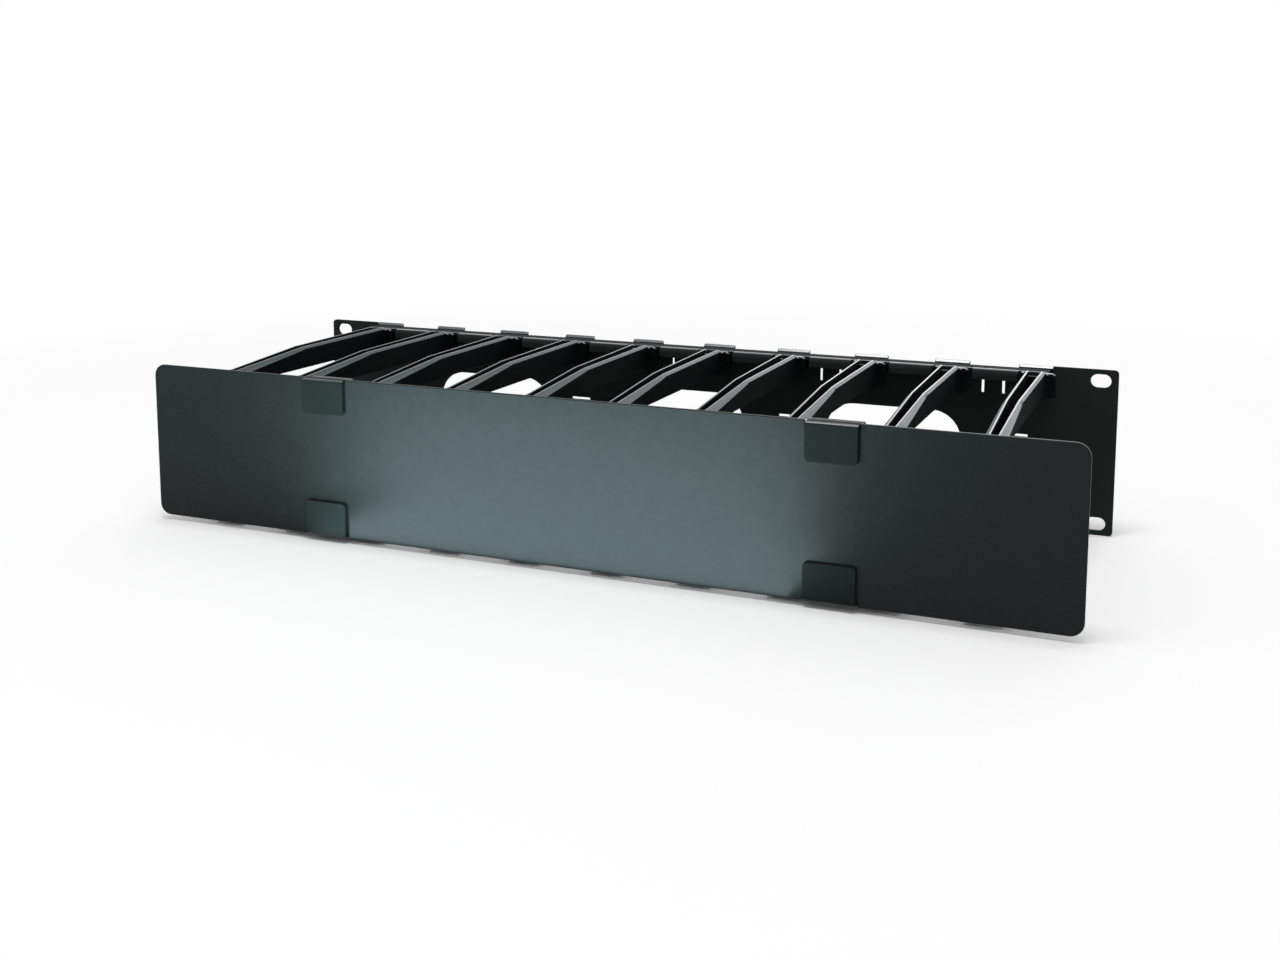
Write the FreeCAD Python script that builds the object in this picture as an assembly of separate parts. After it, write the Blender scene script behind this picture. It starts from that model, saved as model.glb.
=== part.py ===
import FreeCAD, Part
import math
import os

# Horizontal cable manager, two rack units high, single sided, with a cover.
#
# Frame: X runs along the rack's width, Y points to the rear and Z up.
# The origin is the middle of the front face of the steel back plate,
# so the plate's sheet lies behind Y = 0 and the cable space in front of it.
# Millimetres throughout.
#
# The lower finger row is the upper one turned half a turn about Y,
# so that one moulding serves both rows.

V = FreeCAD.Vector

# ---------------------------------------------------------------- rack
rack_unit = 44.45
rack_units = 2
rack_play = 0.8
plate_width = 482.6
plate_height = rack_units * rack_unit - rack_play
rack_hole_from_side = 8.75
rack_hole_from_unit_edge = 6.35
rack_hole_span = plate_width - 2 * rack_hole_from_side
rack_hole_rise = rack_units * rack_unit - 2 * rack_hole_from_unit_edge
rack_slot_length = 10.3
rack_slot_height = 7.1

# ---------------------------------------------------------- back plate
plate_sheet = 2.0
plate_corner_radius = 2.0
ear_width = 33.0
ear_relief = 1.0
flange_drop = 1.5
flange_depth = 12.5
lip_height = 5.7
bend_inside_radius = 1.0

pass_length = 75.0
pass_height = 32.0
pass_spacing = 124.0

strap_slot_length = 7.0
strap_slot_width = 2.0
strap_pair_gap = 10.8
strap_below_flange = 11.45
tie_slot_length = 12.2
tie_slot_level = 5.9
tie_slot_places = (65.0, 190.5)

# ------------------------------------------------------------- fingers
fingers_per_row = 10
finger_from_ear = 8.275
finger_root_width = 10.3
finger_bend_width = 8.5
finger_tip_width = 7.2
finger_root_offset = 0.7
finger_bend_offset = 1.0
finger_tip_offset = 1.5
finger_wall = 2.0
finger_floor = 2.0
finger_edge_bevel = 1.2
finger_bend_at = 94.0
finger_front_slope = 3.9
finger_root_depth = 12.9
finger_tip_depth = 7.2
finger_above_flange = 0.8
ledge_start_reach = 0.6
ledge_left_reach = 1.3
ledge_right_reach = 2.1
ledge_below_rim = 2.3
ledge_after_bend = 4.0
ledge_thickness = 1.6
ledge_top_angle = 13.0
ledge_gusset_angle = 26.0

root_plate_left = 7.6
root_plate_right = 10.4
root_plate_thickness = 2.0
root_plate_proud = 1.0
root_plate_below = 0.6
root_corner_radius = 2.2
root_notch_play = 0.5
root_slide_play = 2.6
root_groove_depth = 2.45
root_block_width = 11.4
root_block_play = 0.25

tongue_width = 18.8
tongue_height = 3.6
tongue_below_flange = 6.35
tongue_play = 0.3
hook_thickness = 2.2
hook_overlap = 1.2

# ---------------------------------------------------------- cover, hinge
cover_side_overhang = 1.15
cover_height_less = 5.1
cover_width = plate_width + 2 * cover_side_overhang
cover_height = plate_height - cover_height_less
cover_sheet = 1.6
cover_corner_radius = 6.3
cover_edge_bevel = 0.4
cover_front = 163.6

axis_behind_cover = 7.5
axis_below_edge = 5.7
rod_radius = 2.5
rod_flat_half = 2.0
rod_seat_depth = 4.0
rod_seat_play = 0.05
rod_end_play = 0.15

head_width = 17.8
head_front_gap = 2.6
head_length = 8.8
head_half_height = 3.1
head_bevel = 1.0
head_end_wall = 2.0

clip_width = 24.4
clip_pad_height = 18.6
clip_pad_thickness = 2.0
clip_pad_round = 2.4
clip_below_edge = 0.4
clip_web = 1.8
clip_inner_thickness = 2.0
clip_inner_height = 16.0
clip_notch_play = 0.3
jaw_running_play = 0.1
jaw_wall = 2.2
jaw_mouth_play = 0.2
jaw_flare = 10.0
clip_peg_width = 6.0
clip_peg_play = 0.1
clip_peg_below_edge = 12.2

# How far joined shapes run into each other, and cutters past the material.
merge = 0.5
spare = 1.0

# ------------------------------------------------------- derived places
half_width = plate_width / 2
half_height = plate_height / 2
channel_half = half_width - ear_width
flange_face = half_height - flange_drop
flange_inside = flange_face - plate_sheet
finger_pitch = 2 * (channel_half - finger_from_ear) / (fingers_per_row - 1)
finger_places = [
    (i - (fingers_per_row - 1) / 2) * finger_pitch for i in range(fingers_per_row)
]
gap_places = [
    (finger_places[i] + finger_places[i + 1]) / 2 for i in range(fingers_per_row - 1)
]
cover_half_height = cover_height / 2
cover_back_y = -cover_front + cover_sheet
axis_y = cover_back_y + axis_behind_cover
axis_z = cover_half_height - axis_below_edge
clip_places = {"left": gap_places[1], "right": gap_places[-2]}
root_front_y = -flange_depth - root_plate_proud
finger_rear_y = root_front_y + merge
finger_top_z = flange_face + finger_above_flange
strap_slot_level = flange_face - strap_below_flange
tongue_level = flange_face - tongue_below_flange
head_front_y = cover_back_y + head_front_gap
head_back_y = head_front_y + head_length
finger_front_y = head_front_y + head_length / 2
jaw_mouth_half = rod_flat_half + jaw_mouth_play


# ------------------------------------------------------------- helpers
def box(x0, x1, y0, y1, z0, z1):
    """A box from its two corners."""
    return Part.makeBox(x1 - x0, y1 - y0, z1 - z0, V(x0, y0, z0))


def plate_from(outline, thickness, back):
    """A flat outline in X and Z, from back - thickness to back along Y."""
    face = Part.Face(outline)
    face.translate(V(0, back - thickness, 0))
    return face.extrude(V(0, thickness, 0))


def rounded_rectangle(x0, x1, z0, z1, radii):
    """A wire in X and Z; radii are lower left, lower right, upper right, upper left."""
    corners = [V(x0, 0, z0), V(x1, 0, z0), V(x1, 0, z1), V(x0, 0, z1)]
    ways = [V(1, 0, 0), V(0, 0, 1), V(-1, 0, 0), V(0, 0, -1)]
    bends = []
    for i, (corner, r) in enumerate(zip(corners, radii)):
        coming = ways[i - 1] * r
        leaving = ways[i] * r
        middle = corner + (leaving - coming) * (1 - math.sqrt(0.5))
        bends.append((corner - coming, middle, corner + leaving, r))
    edges = []
    for i, (start, middle, end, r) in enumerate(bends):
        if r > 0:
            edges.append(Part.Arc(start, middle, end).toShape())
        following = bends[(i + 1) % 4][0]
        if not near((following - end).Length, 0):
            edges.append(Part.makeLine(end, following))
    return Part.Wire(edges)


def slot_cutter(x, z, length, height):
    """A round-ended cutter through the web, longer along X than along Z."""
    r = height / 2
    wire = rounded_rectangle(
        x - length / 2, x + length / 2, z - height / 2, z + height / 2, [r] * 4
    )
    return plate_from(wire, plate_sheet + 2 * spare, plate_sheet + spare)


def profile_along_x(points, x0, x1):
    """A closed outline of (y, z) points, extruded from x0 to x1."""
    wire = Part.makePolygon([V(x0, y, z) for y, z in points + points[:1]])
    return Part.Face(wire).extrude(V(x1 - x0, 0, 0))


def flat_sided(first, last):
    """A solid with flat sides between two outlines that have as many corners."""
    outlines = [first, last]
    for i in range(len(first)):
        outlines.append([first[i - 1], first[i], last[i], last[i - 1]])
    faces = [Part.Face(Part.makePolygon(o + o[:1])) for o in outlines]
    shell = Part.makeShell(faces)
    shell.sewShape()
    return Part.makeSolid(shell)


def turned(shape):
    """The same piece half a turn about Y: top becomes bottom, left becomes right."""
    copy = shape.copy()
    copy.rotate(V(0, 0, 0), V(0, 1, 0), 180)
    return copy


def solid_of(shape):
    """The one solid in a boolean result."""
    shape = shape.removeSplitter()
    assert len(shape.Solids) == 1, "expected one solid, got %d" % len(shape.Solids)
    return shape.Solids[0]


def near(value, target):
    """Whether two lengths are the same, to a ten-thousandth."""
    return abs(value - target) < 1e-4


def edges_at_y(shape, y):
    """The edges that lie wholly at one depth."""
    return [e for e in shape.Edges if all(near(v.Point.y, y) for v in e.Vertexes)]


# ---------------------------------------------------------- back plate
def bent_flange():
    """The channel's upper half: web, bend, flange, bend and lip, as one profile."""
    outer = bend_inside_radius + plate_sheet
    inner = bend_inside_radius
    back = plate_sheet
    lip_front = -flange_depth
    lip_back = lip_front + plate_sheet
    low = flange_face - lip_height

    def arc(cy, cz, r, start, middle, end):
        pts = [
            V(0, cy + r * math.cos(math.radians(a)), cz + r * math.sin(math.radians(a)))
            for a in (start, middle, end)
        ]
        return Part.Arc(*pts).toShape()

    rear_y = back - outer
    bend_z = flange_face - outer
    fore_y = lip_front + outer
    edges = [
        Part.makeLine(V(0, back, 0), V(0, back, bend_z)),
        arc(rear_y, bend_z, outer, 0, 45, 90),
        Part.makeLine(V(0, rear_y, flange_face), V(0, fore_y, flange_face)),
        arc(fore_y, bend_z, outer, 90, 135, 180),
        Part.makeLine(V(0, lip_front, bend_z), V(0, lip_front, low)),
        Part.makeLine(V(0, lip_front, low), V(0, lip_back, low)),
        Part.makeLine(V(0, lip_back, low), V(0, lip_back, bend_z)),
        arc(fore_y, bend_z, inner, 180, 135, 90),
        Part.makeLine(V(0, fore_y, flange_inside), V(0, rear_y, flange_inside)),
        arc(rear_y, bend_z, inner, 90, 45, 0),
        Part.makeLine(V(0, 0, bend_z), V(0, 0, 0)),
        Part.makeLine(V(0, 0, 0), V(0, back, 0)),
    ]
    half = channel_half - ear_relief
    face = Part.Face(Part.Wire(edges))
    face.translate(V(-half, 0, 0))
    return face.extrude(V(2 * half, 0, 0))


def lip_notches():
    """Cutters that take the lip away wherever a finger's root stands."""
    cutters = []
    for x in finger_places:
        cutters.append(
            box(
                x - root_plate_left - root_notch_play,
                x + root_plate_right + root_slide_play,
                -flange_depth - spare,
                -flange_depth + plate_sheet + bend_inside_radius,
                flange_face - lip_height - spare,
                flange_face + spare,
            )
        )
    return cutters


def through_web(x, z, width, height):
    """A square-cornered cutter right through the web, centred at x and z."""
    return box(
        x - width / 2, x + width / 2,
        -spare, plate_sheet + spare,
        z - height / 2, z + height / 2,
    )


def root_windows():
    """One window in the web behind each finger, for the root's tongue."""
    wide = tongue_width + 2 * tongue_play
    high = tongue_height + 2 * tongue_play
    return [through_web(x, tongue_level, wide, high) for x in finger_places]


def strap_slots():
    """Pairs of upright slots for cable straps, in every other finger gap."""
    cutters = []
    for x in gap_places[::2]:
        for side in (-1, 1):
            place = x + side * strap_pair_gap / 2
            cutters.append(
                through_web(place, strap_slot_level, strap_slot_width, strap_slot_length)
            )
    return cutters


def tie_slots():
    """Pairs of level slots for cable ties, between and outside the cable windows."""
    cutters = []
    for place in tie_slot_places:
        for x in (-place, place):
            for z in (-tie_slot_level, tie_slot_level):
                cutters.append(through_web(x, z, tie_slot_length, strap_slot_width))
    return cutters


def rack_slots():
    """The four round-ended screw slots in the ears."""
    cutters = []
    for x in (-rack_hole_span / 2, rack_hole_span / 2):
        for z in (-rack_hole_rise / 2, rack_hole_rise / 2):
            cutters.append(slot_cutter(x, z, rack_slot_length, rack_slot_height))
    return cutters


def cable_windows():
    """The three round-ended windows that let cables pass to the rear."""
    places = (-pass_spacing, 0.0, pass_spacing)
    return [slot_cutter(x, 0, pass_length, pass_height) for x in places]


def make_ear(side):
    """The flat ear at one end, side -1 or 1, with rounded outer corners."""
    r = plate_corner_radius
    x0, x1 = sorted((side * half_width, side * channel_half))
    radii = [r, 0, 0, r] if side < 0 else [0, r, r, 0]
    wire = rounded_rectangle(x0, x1, -half_height, half_height, radii)
    return plate_from(wire, plate_sheet, plate_sheet)


def make_back_plate():
    """Web, ears and both bent flanges, folded from one steel sheet."""
    flange = bent_flange().cut(Part.makeCompound(lip_notches()))
    straight = flange_inside - bend_inside_radius - spare
    web = box(-channel_half, channel_half, 0, plate_sheet, -straight, straight)
    body = flange.fuse([turned(flange), web, make_ear(-1), make_ear(1)])
    upper = root_windows() + strap_slots()
    cutters = upper + [turned(cutter) for cutter in upper]
    cutters += tie_slots() + rack_slots() + cable_windows()
    return solid_of(body.cut(Part.makeCompound(cutters)))


# ------------------------------------------------------------- fingers
def finger_top(y):
    """Height of a finger's upper edge at y: level to the bend, then falling."""
    past_bend = max(-y - finger_bend_at, 0.0)
    return finger_top_z - past_bend * math.tan(math.radians(finger_front_slope))


def finger_bottom(y):
    """Height of a finger's lower edge at y, rising evenly from root to head."""
    root_low = finger_top_z - finger_root_depth
    tip_low = finger_top(head_front_y) - finger_tip_depth
    share = (root_front_y - y) / (root_front_y - head_front_y)
    return root_low + (tip_low - root_low) * share


def finger_sides(y):
    """Left and right side of the arm at y: a taper to the bend, then one to the head."""
    bend_y = -finger_bend_at
    first = (finger_root_offset, finger_root_width)
    last = (finger_bend_offset, finger_bend_width)
    share = (finger_rear_y - y) / (finger_rear_y - bend_y)
    if y < bend_y:
        first = last
        last = (finger_tip_offset, finger_tip_width)
        share = (bend_y - y) / (bend_y - finger_front_y)
    middle, width = [a + (b - a) * share for a, b in zip(first, last)]
    return middle - width / 2, middle + width / 2


def arm_section(y):
    """The arm's outline at y, with both upper edges bevelled."""
    left, right = finger_sides(y)
    low = finger_bottom(y)
    high = finger_top(y)
    return [
        V(left, y, low),
        V(right, y, low),
        V(right, y, high - finger_edge_bevel),
        V(right - finger_edge_bevel, y, high),
        V(left + finger_edge_bevel, y, high),
        V(left, y, high - finger_edge_bevel),
    ]


def finger_arm():
    """The arm before its groove is cut, from the root to the bend and to the head."""
    root, bend, front = (
        arm_section(y) for y in (finger_rear_y, -finger_bend_at, finger_front_y)
    )
    return flat_sided(root, bend).fuse(flat_sided(bend, front))


def finger_ledge(side, reach):
    """A ledge below the rim on one side, widening from past the bend to the head."""
    top_slope = math.tan(math.radians(ledge_top_angle))
    gusset_slope = math.tan(math.radians(ledge_gusset_angle))
    start_y = -finger_bend_at - ledge_after_bend
    end_y = head_back_y - merge
    sections = []
    for y, out in ((start_y, ledge_start_reach), (end_y, reach)):
        wall = finger_sides(y)[0] if side < 0 else finger_sides(y)[1]
        width = merge + out
        x_in = wall - side * merge
        x_out = wall + side * out
        high = finger_top(y) - ledge_below_rim
        low = high - ledge_thickness
        corners = [
            V(x_in, y, high),
            V(x_out, y, high - width * top_slope),
            V(x_out, y, low),
            V(x_in, y, low - width * gusset_slope),
        ]
        sections.append(corners)
    return flat_sided(*sections)


def finger_head():
    """A cross bar that keeps cables in and holds the hinge rods' ends."""
    half = head_width / 2
    head = box(
        -half, half, head_front_y, head_back_y,
        axis_z - head_half_height, axis_z + head_half_height,
    )
    long_edges = [e for e in head.Edges if near(e.Length, head_width)]
    return head.makeChamfer(head_bevel, long_edges)


def finger_root():
    """Root plate, the block inside the channel, the tongue and the rear hook."""
    low = finger_bottom(finger_rear_y)
    plate_back = root_front_y + root_plate_thickness
    r = root_corner_radius
    outline = rounded_rectangle(
        -root_plate_left, root_plate_right, low - root_plate_below, flange_face, [0, 0, r, r]
    )
    root_plate = plate_from(outline, root_plate_thickness, plate_back)

    block_top = flange_inside - root_block_play
    corner = bend_inside_radius + root_block_play
    block = profile_along_x(
        [
            (plate_back - merge, low),
            (0.0, low),
            (0.0, block_top - corner),
            (-corner, block_top),
            (plate_back - merge, block_top),
        ],
        -root_block_width / 2, root_block_width / 2,
    )

    half = tongue_width / 2
    tongue_low = tongue_level - tongue_height / 2
    tongue_high = tongue_level + tongue_height / 2
    hook_back = plate_sheet + hook_thickness
    tongue = box(-half, half, -tongue_height, hook_back, tongue_low, tongue_high)
    hook = box(-half, half, plate_sheet, hook_back, tongue_low, flange_face + hook_overlap)
    return [root_plate, block, tongue, hook]


def groove_section(y):
    """The groove's outline at y, from the floor to above the rims."""
    left, right = finger_sides(y)
    x0 = left + finger_wall
    x1 = right - finger_wall
    floor = finger_bottom(y) + finger_floor
    above = finger_top_z + spare
    return [V(x0, y, floor), V(x1, y, floor), V(x1, y, above), V(x0, y, above)]


def finger_groove():
    """The space inside the arm, open to the outside and at the root."""
    front_y = head_back_y - head_end_wall
    rear_y = root_front_y - root_plate_thickness
    front, bend, rear = (
        groove_section(y) for y in (front_y, -finger_bend_at, rear_y)
    )
    root_groove = box(
        rear[0].x, rear[1].x,
        rear_y, root_front_y + root_plate_thickness,
        finger_top_z - root_groove_depth, finger_top_z + spare,
    )
    return [flat_sided(front, bend), flat_sided(bend, rear), root_groove]


def rod_sockets():
    """Square-cornered sockets in both ends of the head, so a rod's flats stay level."""
    sockets = []
    long_half = rod_radius + rod_seat_play
    flat_half = rod_flat_half + rod_seat_play
    for side in (-1, 1):
        open_end = side * (head_width / 2 + spare)
        blind_end = side * (head_width / 2 - rod_seat_depth)
        x0, x1 = sorted((open_end, blind_end))
        sockets.append(
            box(
                x0, x1,
                axis_y - long_half, axis_y + long_half,
                axis_z - flat_half, axis_z + flat_half,
            )
        )
    return sockets


def make_finger():
    """One moulded finger at X = 0, for the upper row."""
    ledges = [finger_ledge(-1, ledge_left_reach), finger_ledge(1, ledge_right_reach)]
    body = finger_arm().fuse(ledges + [finger_head()] + finger_root())
    return solid_of(body.cut(finger_groove() + rod_sockets()))


# --------------------------------------------------------- hinge parts
def make_rod(x):
    """A hinge rod between the heads of two neighbouring fingers, for the upper row."""
    half = (finger_pitch - head_width) / 2 + rod_seat_depth - rod_end_play
    rod = Part.makeCylinder(rod_radius, 2 * half, V(x - half, axis_y, axis_z), V(1, 0, 0))
    between_flats = box(
        x - half - spare, x + half + spare,
        axis_y - rod_radius - spare, axis_y + rod_radius + spare,
        axis_z - rod_flat_half, axis_z + rod_flat_half,
    )
    return solid_of(rod.common(between_flats))


def clip_peg(x, play):
    """The square peg that holds a clip in the cover, or its hole when play is given."""
    half = clip_peg_width / 2 + play
    middle = cover_half_height - clip_peg_below_edge
    reach = merge if play == 0 else spare
    return box(
        x - half, x + half,
        -cover_front - reach, cover_back_y + reach,
        middle - half, middle + half,
    )


def make_clip(x):
    """A hinge clip on the cover's upper edge: pad, web, inner plate, peg and jaw."""
    x0 = x - clip_width / 2
    x1 = x + clip_width / 2
    top = cover_half_height - clip_below_edge
    pad_front = -cover_front - clip_pad_thickness
    pad_low = cover_half_height - clip_pad_height
    inner_back = cover_back_y + clip_inner_thickness

    r = clip_pad_round
    outline = rounded_rectangle(x0, x1, pad_low, top, [r, r, 0, 0])
    pad = plate_from(outline, clip_pad_thickness, -cover_front)
    web = box(x0, x1, pad_front, inner_back, top - clip_web, top)
    inner = box(x0, x1, cover_back_y, inner_back, top - clip_inner_height, top)

    bore = rod_radius + jaw_running_play
    outer = bore + jaw_wall
    neck_top = axis_z + jaw_mouth_half
    neck = box(x0, x1, inner_back - merge, axis_y, axis_z - outer, neck_top)
    barrel = Part.makeCylinder(outer, clip_width, V(x0, axis_y, axis_z), V(1, 0, 0))
    body = pad.fuse([web, inner, neck, barrel, clip_peg(x, 0)])

    reach = outer + spare
    spread = jaw_mouth_half + reach * math.tan(math.radians(jaw_flare))
    mouth = profile_along_x(
        [
            (axis_y, axis_z - jaw_mouth_half),
            (axis_y + reach, axis_z - spread),
            (axis_y + reach, axis_z + spread),
            (axis_y, axis_z + jaw_mouth_half),
        ],
        x0 - spare, x1 + spare,
    )
    hole = Part.makeCylinder(
        bore, clip_width + 2 * spare, V(x0 - spare, axis_y, axis_z), V(1, 0, 0)
    )
    return solid_of(body.cut(Part.makeCompound([mouth, hole])))


def make_cover():
    """The flat cover sheet, notched and drilled for its four clips."""
    wire = rounded_rectangle(
        -cover_width / 2, cover_width / 2,
        -cover_half_height, cover_half_height,
        [cover_corner_radius] * 4,
    )
    sheet = plate_from(wire, cover_sheet, cover_back_y)
    sheet = sheet.makeChamfer(cover_edge_bevel, edges_at_y(sheet, -cover_front))
    notch_low = cover_half_height - clip_below_edge - clip_web - clip_notch_play
    cutters = []
    for x in clip_places.values():
        half = clip_width / 2 + clip_notch_play
        notch = box(
            x - half, x + half,
            -cover_front - spare, cover_back_y + spare,
            notch_low, cover_half_height + spare,
        )
        hole = clip_peg(x, clip_peg_play)
        cutters += [notch, hole, turned(notch), turned(hole)]
    return solid_of(sheet.cut(Part.makeCompound(cutters)))


# ------------------------------------------------------------ assembly
pieces = {"back_plate": make_back_plate(), "cover": make_cover()}
finger = make_finger()
for i, x in enumerate(finger_places):
    upper = finger.copy()
    upper.translate(V(x, 0, 0))
    pieces["finger_top_%02d" % (i + 1)] = upper
    lower = turned(finger)
    lower.translate(V(x, 0, 0))
    pieces["finger_bottom_%02d" % (i + 1)] = lower
for side, x in clip_places.items():
    pieces["clip_upper_" + side] = make_clip(x)
    pieces["clip_lower_" + side] = turned(make_clip(-x))
    pieces["hinge_rod_upper_" + side] = make_rod(x)
    pieces["hinge_rod_lower_" + side] = turned(make_rod(-x))

os.makedirs("parts", exist_ok=True)
for name, shape in pieces.items():
    shape.exportStep("parts/%s.step" % name)
print(len(pieces), "pieces")
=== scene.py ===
"""Finished pieces, finishes and stage of a horizontal rack cable manager, two units high.

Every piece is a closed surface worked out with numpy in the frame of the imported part:
X along the rack's width, Y to the rear, Z up, the origin in the middle of the back
plate's front face. Lengths are in metres. The lower fingers and clips are the upper
ones after half a turn about Y.
"""

import math

import bmesh
import bpy
import numpy as np
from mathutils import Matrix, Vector, geometry


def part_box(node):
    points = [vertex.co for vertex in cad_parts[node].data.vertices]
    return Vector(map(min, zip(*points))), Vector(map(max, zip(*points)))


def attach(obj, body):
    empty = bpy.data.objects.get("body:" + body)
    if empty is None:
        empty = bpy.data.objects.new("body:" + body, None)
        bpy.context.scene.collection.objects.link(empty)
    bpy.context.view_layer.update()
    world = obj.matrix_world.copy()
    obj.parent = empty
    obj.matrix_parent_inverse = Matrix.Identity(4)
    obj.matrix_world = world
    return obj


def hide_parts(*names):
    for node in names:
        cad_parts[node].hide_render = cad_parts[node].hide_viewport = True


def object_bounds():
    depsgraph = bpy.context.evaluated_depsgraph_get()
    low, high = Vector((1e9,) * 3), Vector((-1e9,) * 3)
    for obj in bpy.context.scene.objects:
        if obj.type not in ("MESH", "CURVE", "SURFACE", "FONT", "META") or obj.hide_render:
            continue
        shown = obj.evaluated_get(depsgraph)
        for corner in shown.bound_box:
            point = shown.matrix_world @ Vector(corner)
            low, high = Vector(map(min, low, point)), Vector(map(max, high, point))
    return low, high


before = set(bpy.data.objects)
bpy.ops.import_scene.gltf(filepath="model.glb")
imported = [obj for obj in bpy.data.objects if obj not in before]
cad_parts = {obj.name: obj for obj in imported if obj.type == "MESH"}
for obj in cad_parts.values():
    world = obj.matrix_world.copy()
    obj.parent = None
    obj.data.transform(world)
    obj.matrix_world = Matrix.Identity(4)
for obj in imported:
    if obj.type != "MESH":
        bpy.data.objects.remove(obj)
CAD_BOX = [list(corner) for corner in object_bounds()]

bl_info = {
    "name": "Rack Cable Manager",
    "version": (1, 0, 0),
    "blender": (4, 5, 0),
    "location": "View3D > Sidebar > Cable Manager",
    "description": "Builds the pieces, finishes and stage of a two-unit rack cable manager",
    "category": "Object",
}

MM = 0.001
FINGERS = range(1, 11)
SIDES = ("left", "right")
# each row's name in pieces and rods, in the fingers' nodes, and its turn about Y
ROWS = (("upper", "top", (1, 1, 1)), ("lower", "bottom", (-1, 1, -1)))
TINY = 1e-12  # a length that counts as none
OVERLAP = 0.5 * MM  # how far the shapes of one moulding run into each other
NEARLY = 0.001 * MM  # what a half-round end leaves of the edge between its corners


def number(name, description, default, **kind):
    """A number property of some unit and range."""
    return bpy.props.FloatProperty(name=name, description=description, default=default, **kind)


def length(name, description, millimetres):
    """A length property, given in millimetres and kept in metres."""
    kind = dict(min=0.0, precision=5, unit="LENGTH", subtype="DISTANCE")
    return number(name, description, millimetres * MM, **kind)


def angle(name, description, degrees):
    """An angle property, given in degrees and kept in radians."""
    return number(name, description, math.radians(degrees), unit="ROTATION", subtype="ANGLE")


def factor(name, description, value):
    """A property from nothing to one."""
    return number(name, description, value, min=0.0, max=1.0, subtype="FACTOR")


def power(name, description, watts):
    """A lamp's power."""
    return number(name, description, watts, min=0.0, unit="POWER")


def colour(name, description, value):
    """A colour property."""
    return bpy.props.FloatVectorProperty(
        name=name, description=description, default=value, min=0.0, max=1.0,
        size=3, subtype="COLOR",
    )


# ---- properties
class FingerSizes(bpy.types.PropertyGroup):
    """Sizes of the moulded finger; offsets are to the right of the head's middle."""

    root_width: length("Root width", "Across the arm at its root", 10.3)
    bend_width: length("Bend width", "Across the arm at its bend", 8.5)
    tip_width: length("Tip width", "Across the arm at its head", 7.2)
    root_offset: length("Root offset", "The arm's middle at its root", 0.7)
    bend_offset: length("Bend offset", "The arm's middle at its bend", 1.0)
    tip_offset: length("Tip offset", "The arm's middle at its head", 1.5)
    wall: length("Wall", "Thickness of the arm's walls and floor", 2.0)
    bevel: length("Rim bevel", "Bevel along both outer edges of the rims", 1.2)
    bend_at: length("Bend", "Distance of the bend from the plate", 94.0)
    arm_end: length("Arm end", "Distance of the arm's end, inside the head", 155.0)
    slope: angle("Slope", "Fall of the rim from the bend to the head", 3.9)
    root_depth: length("Root depth", "Height of the arm at its root", 12.9)
    tip_depth: length("Tip depth", "Height of the arm at its head", 7.2)
    rim_level: length("Rim level", "Height of the rim at its root", 43.35)
    ledge_slope: angle("Ledge slope", "Slope of the bevels and of the ledges' tops", 31.0)
    gusset_slope: angle("Gusset slope", "Slope under the ledges", 26.0)
    ledge_edge: length("Ledge edge", "Thickness of the ledges", 1.6)
    ledge_after: length("Ledge start", "Distance from the bend to the ledges", 4.0)
    ledge_start: length("Ledge start reach", "Reach of both ledges where they start", 0.3)
    ledge_left: length("Left ledge", "Reach of the left ledge at the head", 0.8)
    ledge_right: length("Right ledge", "Reach of the right ledge at the head", 1.9)
    rim_round: length("Rim rounding", "Radius along the rims", 0.35)
    root_front: length("Root front", "Distance of the root plate's face", 13.5)
    root_plate: length("Root plate", "Thickness of the root plate", 2.0)
    root_left: length("Root left", "Root plate to the left of the head's middle", 7.6)
    root_right: length("Root right", "Root plate to the right of the head's middle", 11.5)
    root_top: length("Root top", "Height of the root plate's top", 42.55)
    root_corner: length("Root corner", "Radius of the root plate's corners", 2.2)
    root_dip: length("Root dip", "Depth of the groove through the root plate", 2.45)
    head_front: length("Head front", "Distance of the head's front", 159.4)
    head_back: length("Head back", "Distance of the head's back", 150.6)
    head_width: length("Head width", "Across the head", 17.8)
    head_low: length("Head low", "Height of the head's underside", 32.7)
    head_high: length("Head high", "Height of the head's top", 38.9)
    head_bevel: length("Head bevel", "Bevel along the head's four edges", 1.0)
    socket_depth: length("Socket depth", "Depth of the rod sockets in the head", 4.0)
    socket_play: length("Socket play", "Gap around a rod in its socket", 0.05)
    fillet: length("Fillet", "Radius where the arm grows out of its root", 1.2)
    hook_half: length("Hook half", "Half the width of the tongue and hook", 9.4)
    block_half: length("Block half", "Half the width of the block in the channel", 5.7)
    knob: length("Knob", "Radius of the knob on the root plate", 0.85)


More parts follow.
